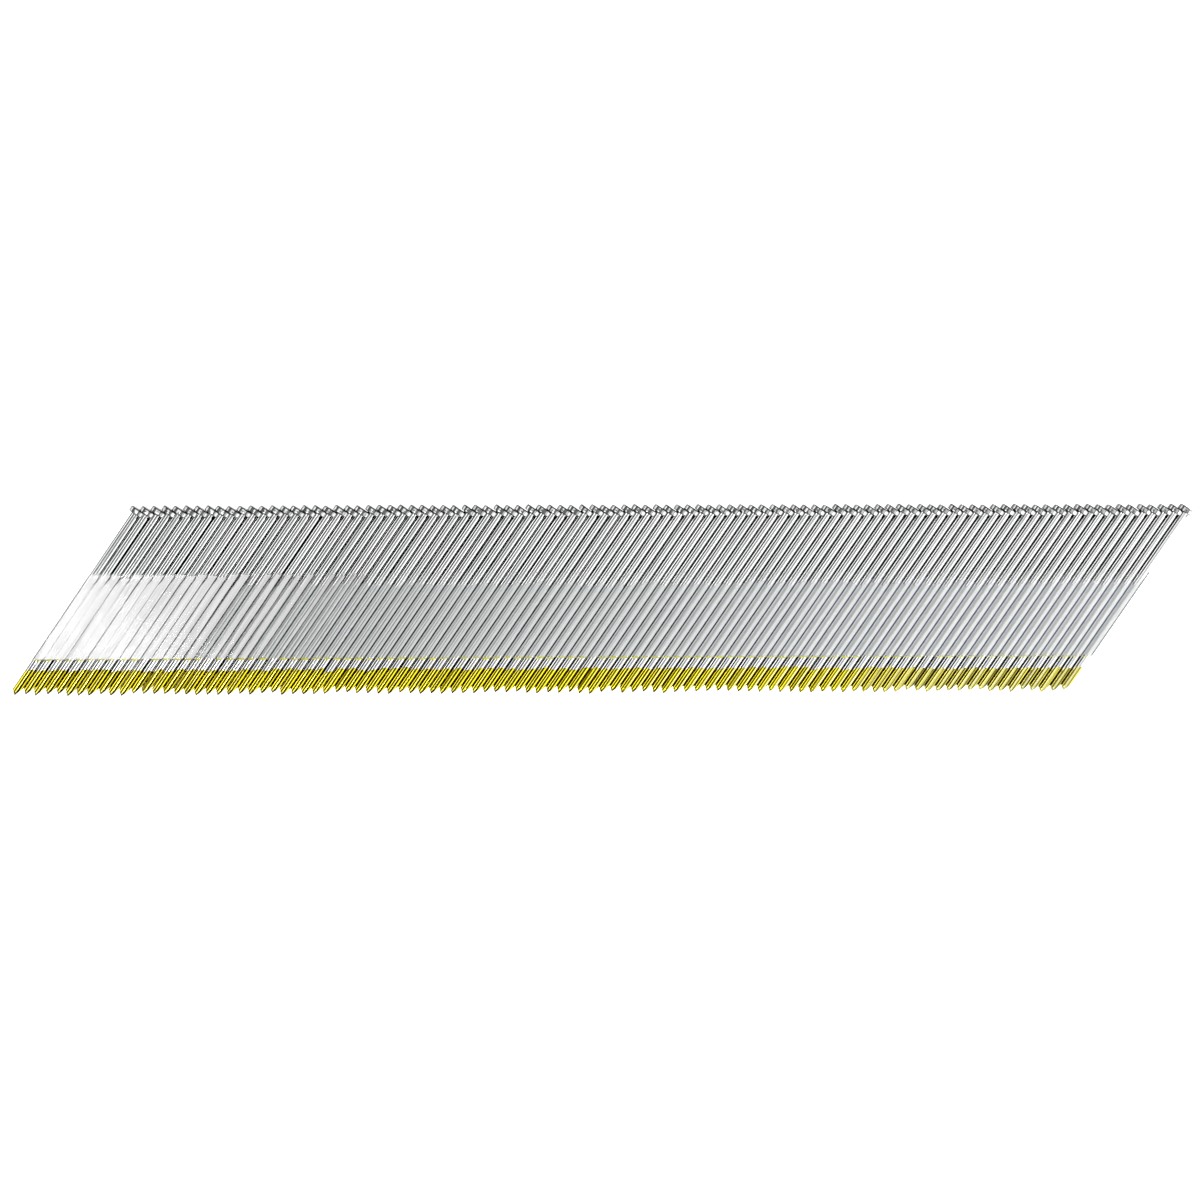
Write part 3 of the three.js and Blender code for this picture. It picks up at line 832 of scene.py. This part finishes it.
def lacquer_material():
    t = Tree("cured_lacquer")
    at = t.object_mm()
    milk = t.noise(t.vmath("MULTIPLY", at, (1.6, 1.6, 1.6)), 1, 4, 0.6)
    fleck = t.noise(t.vmath("MULTIPLY", at, (9.0, 9.0, 9.0)), 1, 2, 0.6)
    turned = t.node("ShaderNodeVectorRotate", rotation_type="Z_AXIS")
    t.link(at, turned.inputs["Vector"])
    turned.inputs["Angle"].default_value = LEAN
    drift = t.noise(t.vmath("MULTIPLY", turned.outputs[0], (0.6, 0.05, 0.6)), 1, 2, 0.5)
    across = t.math("ADD", t.range(t.attribute("side"), -1, 1, 0, 1), t.range(drift, 0.3, 0.7, -0.04, 0.04))
    # Painted reflections: each wire's light and dark bands as seen through the lacquer, with one set for the left of
    # the stick, one for the middle and one for the right
    def painted_reflection_bands(stops):
        return t.ramp(across, [(s, (v * 0.975, v, v * 0.985)) for s, v in stops])

    left = painted_reflection_bands([
        (0.03, 0.40), (0.10, 0.76), (0.17, 0.95), (0.22, 0.76), (0.285, 0.36), (0.34, 0.60), (0.38, 1.0), (0.47, 1.0),
        (0.50, 0.62), (0.54, 0.24), (0.59, 0.28), (0.65, 0.80), (0.77, 0.88), (0.83, 1.0), (0.90, 0.82), (0.97, 0.40),
    ])
    middle = painted_reflection_bands([
        (0.03, 0.44), (0.09, 0.84), (0.15, 0.94), (0.20, 0.70), (0.27, 0.26), (0.33, 0.44), (0.40, 0.90), (0.46, 0.93),
        (0.52, 0.66), (0.57, 0.84), (0.62, 1.0), (0.92, 1.0), (0.97, 0.48),
    ])
    far = painted_reflection_bands([
        (0.03, 0.62), (0.08, 0.96), (0.15, 1.0), (0.22, 0.64), (0.30, 0.60), (0.38, 0.50), (0.43, 0.54), (0.50, 0.84),
        (0.55, 1.0), (0.93, 1.0), (0.98, 0.60),
    ])
    place = t.node("ShaderNodeSeparateXYZ")
    t.link(at, place.inputs[0])
    base = t.mix(t.range(place.outputs[0], -45, -8, 0, 1), left, middle)
    base = t.mix(t.range(place.outputs[0], 0, 38, 0, 1), base, far)
    base = t.mix(t.range(milk, 0.35, 0.7, 0, 0.08), base, (0.66, 0.67, 0.65))
    base = t.mix(t.range(fleck, 0.62, 0.75, 0, 0.5), base, (0.85, 0.85, 0.80))
    # painted shade: dark blue over the grooves between wires, lighter towards the right of the stick
    right = t.range(place.outputs[0], 5, 60, 0, 1)
    lacquer_gap_shade = t.mix(right, (0.005, 0.01, 0.05), (0.10, 0.11, 0.24))
    base = t.mix(t.range(t.attribute("groove"), 0.78, 0.89, 0, 1), base, lacquer_gap_shade)
    base = t.mix(t.range(t.attribute("low_edge"), 0.2, 1.0, 0, 0.8), base, (0.66, 0.60, 0.16))
    t.link(base, t.bsdf.inputs["Base Color"])
    t.bsdf.inputs["Alpha"].default_value = 0.74
    t.bsdf.inputs["IOR"].default_value = 1.5
    t.link(t.range(milk, 0.3, 0.7, 0.22, 0.4), t.bsdf.inputs["Roughness"])
    t.bump(milk, 0.006)
    return t.mat


def coating_material():
    t = Tree("yellow_point_coating")
    at = t.attribute("own_place", True)
    run = t.noise(t.vmath("MULTIPLY", at, (4.0, 0.45, 4.0)), 1, 3, 0.6)
    mottle = t.noise(t.vmath("MULTIPLY", at, (2.2, 1.4, 2.2)), 1, 3, 0.6)
    base = t.mix(t.range(run, 0.32, 0.68, 0, 1), (0.86, 0.74, 0.012), (0.42, 0.31, 0.006))
    # Painted reflections: light and dark bands across each coated point
    painted_reflection_bands = t.ramp(t.range(t.attribute("across"), -1, 1, 0, 1), [
        (0.04, (0.30, 0.22, 0.006)), (0.11, (0.80, 0.68, 0.03)), (0.18, (0.70, 0.58, 0.024)), (0.25, (0.07, 0.042, 0.002)),
        (0.32, (0.07, 0.042, 0.002)), (0.40, (0.93, 0.85, 0.04)), (0.48, (0.88, 0.78, 0.02)), (0.70, (0.74, 0.65, 0.012)),
        (0.84, (0.80, 0.71, 0.018)), (0.94, (0.56, 0.46, 0.012)),
    ])
    base = t.mix(0.85, base, painted_reflection_bands)
    base = t.mix(t.range(mottle, 0.45, 0.75, 0, 0.25), base, (0.66, 0.58, 0.02))
    # painted highlight: whitish streaks along each point
    base = t.mix(t.attribute("painted_highlight"), base, (1.0, 0.98, 0.60))
    # painted reflection: a near-black line down each point
    base = t.mix(t.range(t.attribute("line"), 0.1, 0.75, 0, 1.0), base, (0.006, 0.003, 0.0006))
    # painted shade: near-black in the gaps between points
    base = t.mix(t.range(t.attribute("flank"), 0.74, 0.87, 0, 1), base, (0.006, 0.003, 0.001))
    t.link(base, t.bsdf.inputs["Base Color"])
    t.bsdf.inputs["Metallic"].default_value = 1.0
    t.link(t.range(mottle, 0.3, 0.7, 0.12, 0.22), t.bsdf.inputs["Roughness"])
    t.bump(run, 0.006)
    return t.mat


def film_glare_material():
    t = Tree("painted_film_glare")
    at = t.object_mm()
    turned = t.node("ShaderNodeVectorRotate", rotation_type="Z_AXIS")
    t.link(at, turned.inputs["Vector"])
    turned.inputs["Angle"].default_value = LEAN
    streak = t.noise(t.vmath("MULTIPLY", turned.outputs[0], (3.6, 0.05, 3.6)), 1, 3, 0.7)
    cloud = t.noise(t.vmath("MULTIPLY", at, (0.5, 0.5, 0.5)), 1, 3, 0.6)
    # painted glare: near-white, with grey streaks along the wires
    base = t.mix(t.range(streak, 0.40, 0.64, 0, 1), (0.93, 0.92, 0.915), (0.68, 0.66, 0.665))
    base = t.mix(t.range(cloud, 0.4, 0.75, 0, 0.4), base, (0.86, 0.84, 0.84))
    t.link(base, t.bsdf.inputs["Base Color"])
    t.bsdf.inputs["Alpha"].default_value = 0.88
    t.bsdf.inputs["IOR"].default_value = 1.7
    t.link(t.range(streak, 0.3, 0.7, 0.17, 0.27), t.bsdf.inputs["Roughness"])
    return t.mat


def bead_material(name, colour, second, alpha):
    t = Tree(name)
    fleck = t.noise(t.vmath("MULTIPLY", t.object_mm(), (2.5, 2.5, 2.5)), 1, 2, 0.6)
    t.link(t.mix(t.range(fleck, 0.35, 0.65, 0, 1), colour, second), t.bsdf.inputs["Base Color"])
    t.bsdf.inputs["Alpha"].default_value = alpha
    t.link(t.range(fleck, 0.3, 0.7, 0.15, 0.35), t.bsdf.inputs["Roughness"])
    return t.mat


def floor_material():
    t = Tree("white_floor")
    t.bsdf.inputs["Base Color"].default_value = (0.9, 0.9, 0.9, 1)
    t.bsdf.inputs["Roughness"].default_value = 0.8
    t.bsdf.inputs["Emission Color"].default_value = (1, 1, 1, 1)
    t.bsdf.inputs["Emission Strength"].default_value = 1.0
    return t.mat


# ---------------------------------------------------------------------------
# The object
# ---------------------------------------------------------------------------

zinc = zinc_material()
nails = [Nail(i, rng) for i in range(NAILS)]
for nail in nails:
    piece(make_nail(nail), zinc, "zinc_wire", f"nail_pair_{nail.i // 2 + 1:02d}")
piece(make_coating(nails, rng), coating_material(), "tip_coating", "front_tip_coating", "rear_tip_coating")
lacquer = lacquer_material()
piece(make_lacquer("front_lacquer", True, nails, rng), lacquer, "lacquer", "front_adhesive")
piece(make_lacquer("rear_lacquer", False, nails, rng), lacquer, "lacquer", "rear_adhesive")
film = film_material()
piece(make_film("front_clear_film", True, rng), film, "clear_film", "front_film")
piece(make_film("rear_clear_film", False, rng), film, "clear_film", "rear_film")

glue = bead_material("glue_bead", (0.86, 0.86, 0.06), (0.55, 0.56, 0.06), 0.93)
piece(make_beads("front_glue_bead", True, FILM_FROM - 0.06, 0.9, 0.17, nails, rng), glue, "lacquer", "front_adhesive")
piece(make_beads("rear_glue_bead", False, FILM_FROM - 0.06, 0.9, 0.17, nails, rng), glue, "lacquer", "rear_adhesive")
trim = bead_material("film_top_edge", (0.92, 0.92, 0.92), (0.75, 0.76, 0.74), 0.55)
piece(make_beads("front_film_top_edge", True, FILM_TO - 0.02, 0.8, 0.07, nails, rng), trim, "clear_film", "front_film")
ends = bead_material("film_cut_end", (0.16, 0.16, 0.19), (0.30, 0.30, 0.33), 0.9)
piece(make_cut_ends("front_film_cut_ends"), ends, "clear_film", "front_film")
piece(make_film_glare("front_film_glare", rng), film_glare_material(), "clear_film", "front_film")

# ---------------------------------------------------------------------------
# Floor, light and camera
# ---------------------------------------------------------------------------

floor_mesh = bpy.data.meshes.new("floor")
floor_mesh.from_pydata([(-6, -6, 0), (6, -6, 0), (6, 6, 0), (-6, 6, 0)], [], [(0, 1, 2, 3)])
floor = bpy.data.objects.new("floor", floor_mesh)
floor.location = (0, 0, cad_lo.z - 0.0002)
bpy.context.scene.collection.objects.link(floor)
floor.data.materials.append(floor_material())

ACROSS = Vector((COS, -SIN, 0))
ALONG = Vector((SIN, COS, 0))
UP = Vector((0, 0, 1))


def soft_light(name, centre, width, length, radiance, colour=(1, 1, 1), aim=(0, 0, 0)):
    """A rectangle of light: width across the nails, length along them, in metres."""
    data = bpy.data.lights.new(name, "AREA")
    data.shape = "RECTANGLE"
    data.size, data.size_y = width, length
    data.energy = radiance * width * length * 4.0
    data.color = colour
    ob = bpy.data.objects.new(name, data)
    z = (Vector(centre) - Vector(aim)).normalized()
    y = (ALONG - ALONG.dot(z) * z).normalized()
    x = y.cross(z)
    m = Matrix((x, y, z)).transposed().to_4x4()
    m.translation = Vector(centre)
    ob.matrix_world = m
    bpy.context.scene.collection.objects.link(ob)
    ob.visible_camera = False
    return ob


def at_angle(across_deg, distance, along=0.0):
    a = math.radians(across_deg)
    return ACROSS * math.sin(a) * distance + UP * math.cos(a) * distance + ALONG * along


soft_light("key", (-0.208, -0.106, 1.0), 0.11, 0.05, 16.5)
soft_light("overhead_box", at_angle(-12, 1.15), 0.44, 1.8, 1.22)
soft_light("right_bank", ACROSS * 0.29 + UP * 0.11, 0.29, 1.2, 1.35)
soft_light("left_bank", at_angle(-75, 1.0), 0.30, 1.8, 2.3)
soft_light("right_fill", ACROSS * 0.128 + UP * 0.25, 0.10, 0.5, 0.55)

world = bpy.data.worlds.new("studio")
world.use_nodes = True
world.node_tree.nodes["Background"].inputs[0].default_value = (0.24, 0.245, 0.25, 1)
bpy.context.scene.world = world

camera_data = bpy.data.cameras.new("camera")
camera_data.lens = 100
camera_data.sensor_width = 36
camera_data.clip_start = 0.02
camera_data.clip_end = 30
camera = bpy.data.objects.new("camera", camera_data)
camera.location = (-0.03495, 0.05769, 0.66356)
camera.rotation_euler = (math.radians(-5.0), math.radians(-2.8954), math.radians(0.0869))
bpy.context.scene.collection.objects.link(camera)
bpy.context.scene.camera = camera
bpy.context.scene.view_settings.view_transform = "Standard"

bpy.context.view_layer.update()
